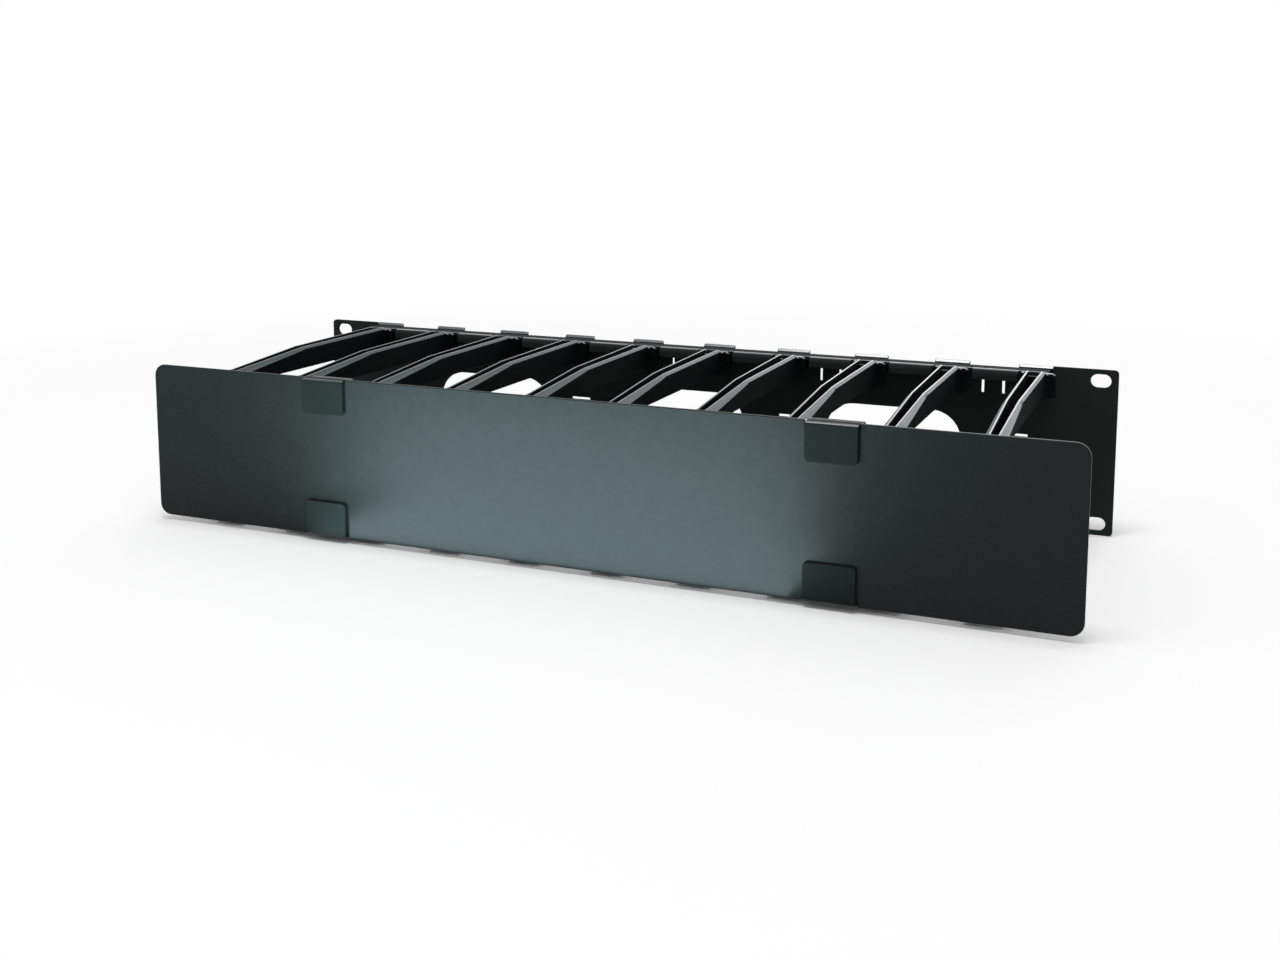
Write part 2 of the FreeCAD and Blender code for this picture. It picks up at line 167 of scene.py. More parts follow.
class PlateSizes(bpy.types.PropertyGroup):
    """Sizes of the folded back plate."""

    sheet: length("Sheet", "Thickness of the steel", 2.0)
    fold: length("Fold", "Radius of the folds, in the middle of the sheet", 2.0)
    web: length("Web", "Height of the first fold above the middle", 39.55)
    flange: length("Flange", "Flat depth between the folds", 8.5)
    lip: length("Lip", "Flat height of the lip after the second fold", 2.7)
    channel: length("Channel", "Half the length of the folded flange", 207.3)
    relief: length("Relief", "Width of the slits beside the ears", 1.0)
    relief_depth: length("Relief depth", "Run of the slits past the first fold", 1.0)
    ear_corner: length("Ear corner", "Radius of the ears' corners", 2.0)
    notch_left: length("Notch left", "Lip notch to the left of a finger", 8.1)
    notch_right: length("Notch right", "Lip notch to the right of a finger", 13.0)
    window: length("Window", "Length of the three cable windows", 75.0)
    window_height: length("Window height", "Height of the cable windows", 32.0)
    window_pitch: length("Window pitch", "Distance between the cable windows", 124.0)
    rack_slot: length("Rack slot", "Length of the screw slots", 10.3)
    rack_slot_height: length("Rack slot height", "Height of the screw slots", 7.1)
    rack_slot_x: length("Rack slot place", "Screw slots from the middle", 232.55)
    rack_slot_z: length("Rack slot level", "Screw slots above the middle", 38.1)
    tongue: length("Tongue window", "Length of the windows for the tongues", 18.9)
    tongue_height: length("Tongue height", "Height of the windows for the tongues", 3.7)
    tongue_z: length("Tongue level", "Windows for the tongues above the middle", 36.2)
    strap: length("Strap slot", "Height of the strap slots", 7.0)
    strap_width: length("Strap width", "Width of the strap slots", 1.5)
    strap_pitch: length("Strap pitch", "Distance between the two slots of a pair", 10.8)
    strap_z: length("Strap level", "Strap slots above the middle", 31.1)
    tie: length("Tie slot", "Length of the tie slots", 12.2)
    tie_height: length("Tie height", "Height of the tie slots", 1.5)
    tie_inner: length("Inner ties", "Inner tie slots from the middle", 65.0)
    tie_outer: length("Outer ties", "Outer tie slots from the middle", 190.5)
    tie_z: length("Tie level", "Tie slots above the middle", 5.9)
    cut_round: length("Cut edges", "Radius that the paint leaves on cut steel", 0.3)


class SheetSizes(bpy.types.PropertyGroup):
    """Sizes of the cover, the clips and the rods."""

    cover_corner: length("Cover corner", "Radius of the cover's corners", 6.3)
    cover_round: length("Cover edge", "Radius around the cover's face", 0.45)
    notch_depth: length("Notch depth", "Depth of the cover's notches", 2.5)
    notch_play: length("Notch play", "Gap between a clip and its notch", 0.3)
    clip_round: length("Clip edges", "Radius on the clips' edges", 0.4)
    clip_corner: length("Clip corner", "Radius of the pads' free corners", 2.4)
    clip_pad: length("Clip pad", "Thickness of the pads", 2.0)
    clip_web: length("Clip web", "Thickness over the cover's edge", 1.8)
    clip_leaf: length("Clip leaf", "Height of the leaf behind the cover", 16.0)
    jaw_wall: length("Jaw wall", "Thickness of the jaw around its rod", 2.2)
    jaw_bore: length("Jaw bore", "Radius of the jaw's bore", 2.6)
    jaw_mouth: length("Jaw mouth", "Half the opening of the jaw", 2.2)
    rod_radius: length("Rod radius", "Radius of the hinge rods", 2.5)
    rod_flat: length("Rod flat", "Half the height across the rods' flats", 2.0)


class FinishColours(bpy.types.PropertyGroup):
    """Colours and roughness of the finishes."""

    plate: colour("Plate paint", "Powder coat of the back plate", (0.016, 0.020, 0.019))
    cover: colour("Cover paint", "Powder coat of the cover", (0.006, 0.009, 0.0085))
    finger: colour("Finger plastic", "Moulded fingers", (0.004, 0.006, 0.006))
    clip: colour("Clip plastic", "Hinge clips", (0.009, 0.0125, 0.0115))
    rod: colour("Rod steel", "Blackened hinge rods", (0.035, 0.036, 0.038))
    # painted highlight: a lighter, bluer colour than the plastic and paint, put on the fingers'
    # rims, ledges, knob and rib and on the outer folds of the plate's lips in place of their
    # highlights
    wear_and_painted_highlight: colour("Rubbed", "Rims and folds that cables rub", (0.022, 0.038, 0.042))
    plate_rough: factor("Plate roughness", "Roughness of the plate's paint", 0.8)
    cover_rough: factor("Cover roughness", "Roughness of the cover's paint", 0.28)
    finger_rough: factor("Finger roughness", "Roughness of the fingers", 0.7)
    rubbed_rough: factor("Rubbed roughness", "Roughness of rims and folds that cables rub", 0.22)
    ledge_rough: factor("Ledge roughness", "Roughness of the fingers' ledges", 0.36)
    clip_rough: factor("Clip roughness", "Roughness of the clips", 0.6)


class StageSettings(bpy.types.PropertyGroup):
    """Floor, lamps and camera."""

    floor: colour("Floor", "Colour of the floor", (0.94, 0.94, 0.94))
    fill: factor("World fill", "Strength of the world on matt surfaces", 0.45)
    key: power("Overhead lamp", "Power of the lamp overhead", 24.0)
    back: power("Back lamp", "Power of the lamp behind", 3.5)
    side: power("Side lamp", "Power of the lamp at the left", 2.0)
    glow: power("Low lamps", "Power of the lamps mirrored by the cover", 4.5)
    lens: number("Lens", "Focal length of the camera", 39.537, min=1.0, unit="CAMERA")


class CableManager(bpy.types.PropertyGroup):
    """Everything that a user may change."""

    finger: bpy.props.PointerProperty(type=FingerSizes, name="Finger")
    plate: bpy.props.PointerProperty(type=PlateSizes, name="Back plate")
    sheet: bpy.props.PointerProperty(type=SheetSizes, name="Sheet and hinge")
    finish: bpy.props.PointerProperty(type=FinishColours, name="Finishes")
    stage: bpy.props.PointerProperty(type=StageSettings, name="Stage")


# ---- surfaces
def unit(vectors):
    """Each vector divided by its own length; a zero one stays zero."""
    size = np.linalg.norm(vectors, axis=-1, keepdims=True)
    return vectors / np.where(size > TINY, size, 1.0)


def section(corners, radii, inset=0.0, steps=3):
    """Closed outlines with rounded corners, one for each row of corners.

    Each edge first moves inwards by the inset, which puts a corner where its two moved
    edges cross. An arc of the corner's radius, less the inset where it is convex and
    plus the inset where it is hollow, then touches both edges. Its points turn evenly
    from one edge's normal to the other's. Corners run anticlockwise.
    """
    corners = np.atleast_3d(np.asarray(corners, float).T).T
    corners = corners.reshape((-1,) + corners.shape[-2:])
    inset = np.broadcast_to(np.asarray(inset, float), (len(corners),))[:, None]
    radii = np.broadcast_to(np.asarray(radii, float), corners.shape[:2])
    coming = unit(corners - np.roll(corners, 1, axis=1))
    leaving = np.roll(coming, -1, axis=1)
    turn_left = coming[..., 0] * leaving[..., 1] - coming[..., 1] * leaving[..., 0]
    in_normal = np.stack([-coming[..., 1], coming[..., 0]], axis=-1)
    out_normal = np.roll(in_normal, -1, axis=1)
    mitre = (in_normal + out_normal) / (1 + (coming * leaving).sum(-1))[..., None]
    moved = corners + mitre * inset[..., None]
    side = np.sign(turn_left)
    straight = 1e-4
    arc = np.maximum(radii - side * inset, 0.0) * (np.abs(turn_left) > straight)
    centre = moved + mitre * (side * arc)[..., None]
    sweep = np.arctan2(turn_left, (coming * leaving).sum(-1))[..., None]
    turn = sweep * np.linspace(0.0, 1.0, steps + 1)
    start = -in_normal * (side * arc)[..., None]
    x = start[..., :1] * np.cos(turn) - start[..., 1:] * np.sin(turn)
    y = start[..., :1] * np.sin(turn) + start[..., 1:] * np.cos(turn)
    points = centre[..., None, :] + np.stack([x, y], axis=-1)
    return points.reshape(len(corners), -1, 2)


def rounding(start, end, radius, steps=3):
    """Stations along a bar and how far its outline is drawn in at each.

    At both ends the station follows radius * (1 - cos) and the inset radius * (1 - sin)
    of an angle from nothing to a right angle, which rounds the end's edges.
    """
    turn = np.linspace(0.0, math.pi / 2, steps + 1)
    depth = radius * (1 - np.cos(turn))
    inset = radius * (1 - np.sin(turn))
    stations = np.concatenate([start + depth, (end - depth)[::-1]])
    return stations, np.concatenate([inset, inset[::-1]])


def placed(outlines, stations, axis):
    """Outlines set up at stations along X or Y: rings of points in space."""
    along = np.broadcast_to(np.asarray(stations)[:, None], outlines.shape[:2])
    first, second = outlines[..., 0], outlines[..., 1]
    order = (along, first, second) if axis == "X" else (first, along, second)
    return np.stack(order, axis=-1)


def skin(rings):
    """Points and faces of a closed surface: four-sided faces between each ring and the
    next, and one face across the first and the last ring."""
    count, around = rings.shape[:2]
    here = np.arange(count * around).reshape(count, around)
    beside = np.roll(here, -1, axis=1)
    quads = np.stack([here[:-1], beside[:-1], beside[1:], here[1:]], axis=-1)
    faces = quads.reshape(-1, 4).tolist() + [here[0][::-1].tolist(), here[-1].tolist()]
    return rings.reshape(-1, 3), faces


def loft(shapes, radii, stations, axis, inset=0.0, steps=3):
    """A closed surface through one rounded outline at each station along an axis."""
    return skin(placed(section(shapes, radii, inset, steps), stations, axis))


def bar(corners, radii, start, end, radius, axis, steps=3):
    """A straight bar of one outline between two stations, its ends' edges rounded."""
    stations, inset = rounding(start, end, radius)
    shapes = np.repeat(np.asarray(corners)[None], len(stations), 0)
    return loft(shapes, radii, stations, axis, inset, steps)


def joined(*surfaces):
    """Several closed surfaces as one list of points and faces."""
    points = np.concatenate([s[0] for s in surfaces])
    offsets = np.cumsum([0] + [len(s[0]) for s in surfaces[:-1]])
    faces = [[i + int(o) for i in f] for s, o in zip(surfaces, offsets) for f in s[1]]
    return points, faces


def tidy_mesh(mesh, crisp=math.radians(35), apart=0.002 * MM):
    """Points less than a distance apart become one, faces without area go, the rest
    face outwards, and edges that turn by more than the crisp angle stay crisp."""
    work = bmesh.new()
    work.from_mesh(mesh)
    bmesh.ops.remove_doubles(work, verts=work.verts, dist=apart)
    bmesh.ops.dissolve_degenerate(work, dist=apart, edges=work.edges)
    bmesh.ops.recalc_face_normals(work, faces=work.faces)
    work.to_mesh(mesh)
    work.free()
    mesh.shade_smooth()
    mesh.set_sharp_from_angle(angle=crisp)


def make_piece(name, surface, body, slot, material, node, *wear_and_painted_highlight):
    """One finished piece that rides on a body and stands for a CAD node.

    Its flat faces keep their own normal, and its roundings blend into them. Some faces
    take a smoother material, as where cables rub; on the fingers' rims and ledges and the
    plate's lip folds it is also painted lighter, a painted highlight. Each of these is a
    material and a test of the faces' centres and normals, which have one row for each face.
    """
    if not np.isfinite(surface[0]).all():
        raise ValueError("%s has a point without a place" % name)
    mesh = bpy.data.meshes.new(name)
    mesh.from_pydata(surface[0].tolist(), [], surface[1])
    tidy_mesh(mesh)
    faces = mesh.polygons
    centre, normal = np.empty((2, len(faces) * 3))
    faces.foreach_get("center", centre)
    faces.foreach_get("normal", normal)
    slots = np.zeros(len(faces), dtype=np.int32)
    mesh.materials.append(material)
    # second materials: smoother, and on the fingers' rims and ledges and the plate's lip folds
    # also a painted highlight colour
    for number, (smooth_and_painted_highlight, wear_and_highlight_test) in enumerate(wear_and_painted_highlight, 1):
        mesh.materials.append(smooth_and_painted_highlight)
        slots[wear_and_highlight_test(centre.reshape(-1, 3), normal.reshape(-1, 3))] = number
    faces.foreach_set("material_index", slots)
    piece = bpy.data.objects.new(name, mesh)
    bpy.context.scene.collection.objects.link(piece)
    shading = piece.modifiers.new("Even shading", "WEIGHTED_NORMAL")
    shading.keep_sharp = True
    shading.weight = 100
    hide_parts(node)
    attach(piece, body)


# ---- materials
def node_of(tree, kind, **inputs):
    """A new node, with each input either set to a value or linked to a socket."""
    node = tree.nodes.new(kind)
    for name, value in inputs.items():
        socket = node.inputs[name.replace("_", " ")]
        if isinstance(value, bpy.types.NodeSocket):
            tree.links.new(value, socket)
        else:
            socket.default_value = value
    return node


def new_material(name, base, roughness, specular, polish=0.0, metallic=0.0, stretch=None):
    """A material with a shader, and object coordinates to draw its patterns on. A number
    below one in stretch draws the patterns out along that axis."""
    material = bpy.data.materials.new(name)
    material.use_nodes = True
    tree = material.node_tree
    tree.nodes.clear()
    shader = node_of(
        tree, "ShaderNodeBsdfPrincipled", Base_Color=(*base, 1.0), Roughness=roughness,
        Specular_IOR_Level=specular, Coat_Weight=polish, Coat_Roughness=0.2, Metallic=metallic,
    )
    node_of(tree, "ShaderNodeOutputMaterial", Surface=shader.outputs["BSDF"])
    place = tree.nodes.new("ShaderNodeTexCoord").outputs["Object"]
    if stretch:
        place = node_of(tree, "ShaderNodeMapping", Vector=place, Scale=stretch).outputs["Vector"]
    return material, tree, shader, place


def noise(tree, place, scale, detail=2.0):
    """Noise whose blotches are about one over the scale across, in metres."""
    node = node_of(tree, "ShaderNodeTexNoise", Vector=place, Scale=scale, Detail=detail)
    return node.outputs["Fac"]


def spread(tree, value, low, high, to_low, to_high):
    """Carries a value from one range to another."""
    return node_of(
        tree, "ShaderNodeMapRange", Value=value,
        From_Min=low, From_Max=high, To_Min=to_low, To_Max=to_high,
    ).outputs["Result"]


def vary_colour(tree, shader, value, base, amount):
    """The base colour drifts by an amount to both sides of itself."""
    mix = tree.nodes.new("ShaderNodeMix")
    mix.data_type = "RGBA"
    for name, share in (("A", 1 - amount), ("B", 1 + amount)):
        socket = [i for i in mix.inputs if i.name == name and i.type == "RGBA"][0]
        socket.default_value = (*[min(c * share, 1.0) for c in base], 1.0)
    tree.links.new(value, [i for i in mix.inputs if i.name == "Factor"][0])
    result = [o for o in mix.outputs if o.type == "RGBA"][0]
    tree.links.new(result, shader.inputs["Base Color"])


def vary_gloss(tree, shader, value, low, high):
    """The roughness runs from low to high with the middle of a noise's range."""
    tree.links.new(spread(tree, value, 0.3, 0.7, low, high), shader.inputs["Roughness"])


def raise_bump(tree, shader, *heights):
    """Bumps one over another: each height is a value and its depth in metres."""
    normal = shader.inputs["Normal"]
    for value, depth in heights:
        bump = node_of(tree, "ShaderNodeBump", Height=value, Strength=1.0, Distance=depth)
        if normal.is_output:
            tree.links.new(normal, bump.inputs["Normal"])
        normal = bump.outputs["Normal"]
    tree.links.new(normal, shader.inputs["Normal"])


def combine(tree, operation, first, second):
    """Two values added or multiplied, and kept from nothing to one."""
    node = tree.nodes.new("ShaderNodeMath")
    node.operation = operation
    node.use_clamp = True
    tree.links.new(first, node.inputs[0])
    tree.links.new(second, node.inputs[1])
    return node.outputs[0]


def looked_at(tree):
    """One for camera, glossy and transmission rays, nothing for the rest."""
    rays = tree.nodes.new("ShaderNodeLightPath").outputs
    seen = combine(tree, "ADD", rays["Is Camera Ray"], rays["Is Glossy Ray"])
    return combine(tree, "ADD", seen, rays["Is Transmission Ray"])


def mixed(tree, share, first, second):
    """One shader changes to a second as the share goes from nothing to one."""
    mix = tree.nodes.new("ShaderNodeMixShader")
    for source, socket in zip((share, first, second), mix.inputs):
        tree.links.new(source, socket)
    return mix.outputs[0]


def powder_coat(name, base, roughness, specular, polish=0.0):
    """Baked powder paint: fine grain on a shallow orange peel, a little uneven in gloss."""
    material, tree, shader, place = new_material(name, base, roughness, specular, polish)
    vary_colour(tree, shader, noise(tree, place, 90.0, 3.0), base, 0.12)
    patches = noise(tree, place, 260.0, 3.0)
    vary_gloss(tree, shader, patches, roughness - 0.03, roughness + 0.03)
    peel = (noise(tree, place, 420.0, 1.0), 0.012 * MM)
    grain = (noise(tree, place, 2600.0, 2.0), 0.006 * MM)
    raise_bump(tree, shader, peel, grain)
    return material


def moulded_plastic(name, base, roughness, specular, polish=0.0):
    """Injection-moulded plastic: a polished tool's gloss with faint flow and sink."""
    material, tree, shader, flow = new_material(
        name, base, roughness, specular, polish, stretch=(1.0, 0.18, 1.0),
    )
    vary_colour(tree, shader, noise(tree, flow, 60.0), base, 0.12)
    vary_gloss(tree, shader, noise(tree, flow, 90.0), roughness - 0.02, roughness + 0.03)
    raise_bump(tree, shader, (noise(tree, flow, 40.0, 0.0), 0.02 * MM))
    return material


def black_steel(name, base):
    """Blackened bright steel: drawn lines along X under a thin oxide."""
    material, tree, shader, place = new_material(
        name, base, 0.35, 0.5, metallic=0.9, stretch=(0.05, 1.0, 1.0),
    )
    lines = noise(tree, place, 2400.0, 3.0)
    vary_colour(tree, shader, lines, base, 0.25)
    vary_gloss(tree, shader, lines, 0.28, 0.42)
    raise_bump(tree, shader, (lines, 0.006 * MM))
    return material


# ---- back plate
def slot_loop(x, z, width, height, steps, radius=None):
    """A hole in the blank, with half-round ends unless its corners have a radius. The
    corners run clockwise, so that an inset widens it."""
    a, b = width / 2, height / 2
    corners = np.array([(-a, -b), (-a, b), (a, b), (a, -b)]) + (x, z)
    return corners, np.full(4, b - NEARLY if radius is None else radius), steps


def plate_loops(s, half_x, half_z, fingers):
    """The unfolded blank: its outline, then every hole, as corners, radii and steps.

    Heights above the first fold are lengths along the sheet. Both sides of each strip
    that gets folded carry points at the same even steps through the fold.
    """
    quarter = s.fold * math.pi / 2
    first = s.web + np.linspace(0.0, quarter, 7)
    second = first[-1] + s.flange + np.linspace(0.0, quarter, 7)
    brink = second[0]
    top = second[-1] + s.lip
    foot = s.web - s.relief_depth
    ear = s.channel + s.relief
    slit_corner, lip_corner, hole_corner = 0.5 * MM, 0.6 * MM, 0.3 * MM
    outline = [(half_x, half_z, s.ear_corner), (ear, half_z, slit_corner), (ear, foot, 0)]
    outline += [(s.channel, foot, 0)] + [(s.channel, v, 0) for v in first]
    outline += [(s.channel, brink, slit_corner)]
    strips = [(a + s.notch_right, b - s.notch_left) for a, b in zip(fingers[:-1], fingers[1:])]
    for a, b in reversed(strips):
        outline += [(b, v, 0) for v in second] + [(b, top, lip_corner)]
        outline += [(a, top, lip_corner)] + [(a, v, 0) for v in second[::-1]]
    outline += [(-s.channel, brink, slit_corner)]
    outline += [(-s.channel, v, 0) for v in first[::-1]] + [(-s.channel, foot, 0)]
    outline += [(-ear, foot, 0), (-ear, half_z, slit_corner), (-half_x, half_z, s.ear_corner)]
    outline = np.array(outline)
    both = np.concatenate([outline, outline * (-1, -1, 1)])
    loops = [(both[:, :2], both[:, 2], 3)]
    for x in (-s.window_pitch, 0.0, s.window_pitch):
        loops.append(slot_loop(x, 0, s.window, s.window_height, 14))
    for x in (-s.rack_slot_x, s.rack_slot_x):
        for z in (-s.rack_slot_z, s.rack_slot_z):
            loops.append(slot_loop(x, z, s.rack_slot, s.rack_slot_height, 8))
    pairs = (fingers[:-1:2] + fingers[1::2]) / 2
    for side in (1, -1):
        small = [(x, s.tongue_z, s.tongue, s.tongue_height) for x in fingers]
        small += [(side * x + across, s.strap_z, s.strap_width, s.strap)
                  for x in pairs for across in (-s.strap_pitch / 2, s.strap_pitch / 2)]
        small += [(x, s.tie_z, s.tie, s.tie_height)
                  for x in (-s.tie_outer, -s.tie_inner, s.tie_inner, s.tie_outer)]
        loops += [slot_loop(x, side * z, w, h, 2, hole_corner) for x, z, w, h in small]
    levels = [(-s.channel, s.channel, v) for v in first]
    levels += [(a, b, v) for a, b in strips for v in second]
    return loops, levels


def fold_up(blank, across, s):
    """Carries points of the blank, and their place through its thickness, to the sheet.

    Past the web a length first turns through a quarter circle about the first fold,
    then runs along the flange, turns again, and runs down the lip. The place through
    the thickness is measured along the sheet's own normal. Ears are left flat.
    """
    u, v = blank[..., 0], blank[..., 1]
    quarter = s.fold * math.pi / 2
    past = np.where(np.abs(u) > s.channel + s.relief / 2, 0.0, np.maximum(np.abs(v) - s.web, 0.0))
    first = np.clip(past, 0.0, quarter) / s.fold
    flange = np.clip(past - quarter, 0.0, s.flange)
    second = np.clip(past - quarter - s.flange, 0.0, quarter) / s.fold
    lip = np.maximum(past - 2 * quarter - s.flange, 0.0)
    turn = first + second
    y = s.sheet / 2 - s.fold * (1 - np.cos(first)) - flange - s.fold * np.sin(second)
    z = np.abs(v) - past + s.fold * np.sin(first) - s.fold * (1 - np.cos(second)) - lip
    y = y + across * np.cos(turn)
    z = z + across * np.sin(turn)
    return np.stack([u, y, np.sign(v) * z], axis=-1)


def flat_faces(loops, levels, inset):
    """Triangles that fill the blank inside its outline and outside its holes.

    A constrained triangulation, in millimetres, of all loops and of the fold's level
    lines; a triangle stays when a line from its middle crosses the loops an odd number
    of times.
    """
    outlines = [section(c, r, inset, steps)[0] for c, r, steps in loops]
    points = np.concatenate(outlines)
    start = np.cumsum([0] + [len(o) for o in outlines[:-1]])
    edges = np.concatenate([
        np.stack([np.arange(len(o)), np.roll(np.arange(len(o)), -1)], 1) + i
        for o, i in zip(outlines, start)
    ])
    a, b = points[edges[:, 0]], points[edges[:, 1]]
    rows = np.array(levels)
    rows = np.concatenate([rows, rows * (-1, -1, -1)])
    low = rows[:, :2].min(1) + inset
    high = rows[:, :2].max(1) - inset
    ends = np.stack([np.stack([low, rows[:, 2]], 1), np.stack([high, rows[:, 2]], 1)], 1)
    lines = np.arange(len(rows) * 2).reshape(-1, 2) + len(points)
    everything = np.concatenate([points, ends.reshape(-1, 2)]) * 1000
    same_place = 1e-4
    result = geometry.delaunay_2d_cdt(
        [Vector(p) for p in everything], np.concatenate([edges, lines]).tolist(),
        [], 0, same_place,
    )
    flat = np.array([tuple(p) for p in result[0]]) * MM
    faces = np.array(result[2])
    middle = flat[faces].mean(axis=1)
    above = (a[:, 1] > middle[:, 1:2]) != (b[:, 1] > middle[:, 1:2])
    rise = np.where(np.abs(b[:, 1] - a[:, 1]) < TINY, 1.0, b[:, 1] - a[:, 1])
    cross_x = a[:, 0] + (middle[:, 1:2] - a[:, 1]) * (b[:, 0] - a[:, 0]) / rise
    inside = (above & (cross_x > middle[:, :1])).sum(axis=1) % 2 == 1
    return flat, faces[inside]


def folded_plate(s, half_x, half_z, fingers):
    """The back plate: both faces of the blank and the rounded walls of its loops, all
    folded up together."""
    loops, levels = plate_loops(s, half_x, half_z, fingers)
    across, inset = rounding(-s.sheet / 2, s.sheet / 2, s.cut_round)
    surfaces = []
    for corners, radii, steps in loops:
        rings = section(np.repeat(corners[None], len(inset), 0), radii, inset, steps)
        points = fold_up(rings, across[:, None], s)
        surfaces.append((skin(points)[0], skin(points)[1][:-2]))
    flat, faces = flat_faces(loops, levels, s.cut_round)
    for side in (-s.sheet / 2, s.sheet / 2):
        surfaces.append((fold_up(flat, side, s), faces.tolist()))
    return joined(*surfaces)


# ---- finger
def rim_height(y, s):
    """The rim's height at a depth: level to the bend, then falling at the slope."""
    return s.rim_level - np.maximum(-y - s.bend_at, 0.0) * math.tan(s.slope)


def keel_height(y, s):
    """The underside's height at a depth: one straight line from root to head."""
    low = s.rim_level - s.root_depth
    tip = rim_height(np.float64(-s.head_front), s) - s.tip_depth
    return low + (tip - low) * (-y - s.root_front) / (s.head_front - s.root_front)


def hinge_line():
    """Y and Z of the middle of the upper rods, about which the cover turns."""
    low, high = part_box("hinge_rod_upper_left")
    return (np.array(low) + high)[1:] / 2


def arm_sides(y, s):
    """The arm's left and right side at a depth, straight from root to bend to end."""
    stops = (s.root_front - OVERLAP, s.bend_at, s.arm_end)
    middle = np.interp(-y, stops, (s.root_offset, s.bend_offset, s.tip_offset))
    half = np.interp(-y, stops, (s.root_width, s.bend_width, s.tip_width)) / 2
    return middle - half, middle + half


def groove_sides(y, s):
    """The groove's left and right side at one depth, a wall's thickness inside the arm."""
    left, right = arm_sides(np.float64(y), s)
    return left + s.wall, right - s.wall


def finger_arm(s):
    """The arm: an open channel carried along Y from the root plate into the head.

    At each depth the outline runs round the keel, the walls, the ledges, the bevelled
    rims and the groove. The ledges step out at the bend and then widen in proportion
    to the way to the head. Near the root the outer walls swell as a quarter circle does,
    which leaves a fillet.
    """
    root = -s.root_front
    groove_end = root - s.root_plate
    ledge_from = s.bend_at + s.ledge_after
    ledge_to = s.head_back + OVERLAP
    inner_end = -s.head_back - s.wall
    turn = np.linspace(0.0, math.pi / 2, 5)
    y = np.concatenate([
        [root + OVERLAP], root - s.fillet * (1 - np.cos(turn)), [groove_end, groove_end],
        np.linspace(groove_end - 6 * MM, -s.bend_at, 8),
        np.linspace(-ledge_from, -ledge_to, 8),
        [-ledge_to - 0.2 * MM, inner_end, inner_end, -s.arm_end],
    ])
    swell = np.zeros(len(y))
    swell[0] = s.fillet
    swell[1:6] = s.fillet * (1 - np.sin(turn))
    top = rim_height(y, s)
    low = keel_height(y, s) - swell
    floor = keel_height(y, s) + s.wall
    floor[:7] = s.rim_level - s.root_dip
    floor[-2:] = top[-2:] - 0.1 * MM
    start = np.clip((-y - s.bend_at) / s.ledge_after, 0.0, 1.0) * s.ledge_start
    share = np.clip((-y - ledge_from) / (ledge_to - ledge_from), 0.0, 1.0)
    in_head = -y > ledge_to + NEARLY
    socket_end = s.head_width / 2 - s.socket_depth - s.socket_play
    least_gusset = 0.5 * MM
    walls = arm_sides(y, s)
    rings = []
    for side, end in ((1, s.ledge_right), (-1, s.ledge_left)):
        bare = walls[(1 + side) // 2]
        wall = bare + side * swell
        wall = np.where(in_head, np.clip(wall, -socket_end, socket_end), wall)
        reach = ~in_head * (start + (end - s.ledge_start) * share)
        crown = top - s.bevel - reach * math.tan(s.ledge_slope)
        under = crown - s.ledge_edge
        gusset = under - (reach + least_gusset) * math.tan(s.gusset_slope)
        inner, edge = bare - side * s.wall, bare - side * s.bevel
        rings.append([
            (wall, low), (wall, gusset), (wall + side * reach, under),
            (wall + side * reach, crown), (wall, top - s.bevel), (edge, top),
            (inner, top), (inner, floor),
        ])
    radii = np.array([0.6, 0.5, 0.3, 0.3, 0.5, s.rim_round / MM, s.rim_round / MM, 0.5]) * MM
    radii = np.concatenate([radii, radii[::-1]])
    ring = rings[0] + rings[1][::-1]
    corners = np.stack([np.stack(p, axis=-1) for p in ring], axis=1)
    return loft(corners, radii, y, "Y")


def finger_head(s, flats):
    """The head: a bevelled bar carried along X, notched behind where the arm's groove
    runs into it, with a flat-sided socket sunk into each end."""
    front, back = -s.head_front, -s.head_back
    low, high, c = s.head_low, s.head_high, s.head_bevel
    notch_y = back - s.wall
    groove = float(keel_height(np.float64(notch_y), s)) + s.wall
    notch_z = max(groove, low + c + 0.1 * MM)
    full = np.array([
        (front + c, low), (back - c, low), (back, low + c), (back, notch_z),
        (back, high - c), (back - c, high), (front + c, high), (front, high - c),
        (front, low + c),
    ])
    notched = full.copy()
    notched[4] = (notch_y, notch_z)
    notched[5] = (notch_y, high)
    half = s.head_width / 2
    left, right = groove_sides(notch_y, s)
    stations, inset = rounding(-half, half, 0.5 * MM)
    ends = len(stations) // 2
    x = np.concatenate([stations[:ends], [left, left, right, right], stations[ends:]])
    drawn_in = np.concatenate([inset[:ends], np.zeros(4), inset[ends:]])
    shapes = np.repeat(full[None], len(x), axis=0)
    shapes[ends + 1:ends + 3] = notched
    rings = placed(section(shapes, 0.3 * MM, drawn_in), x, "X")
    aim = np.array([
        (-1, -1), (1, -1), (1, -1), (1, 0), (1, 1), (1, 1), (-1, 1), (-1, 1), (-1, -1),
    ])
    mouth = np.repeat(aim, 4, axis=0) * flats + hinge_line()
    deep = half - s.socket_depth
    sockets = placed(np.repeat(mouth[None], 4, axis=0), (-deep, -half, half, deep), "X")
    return skin(np.concatenate([sockets[:2], rings, sockets[2:]]))


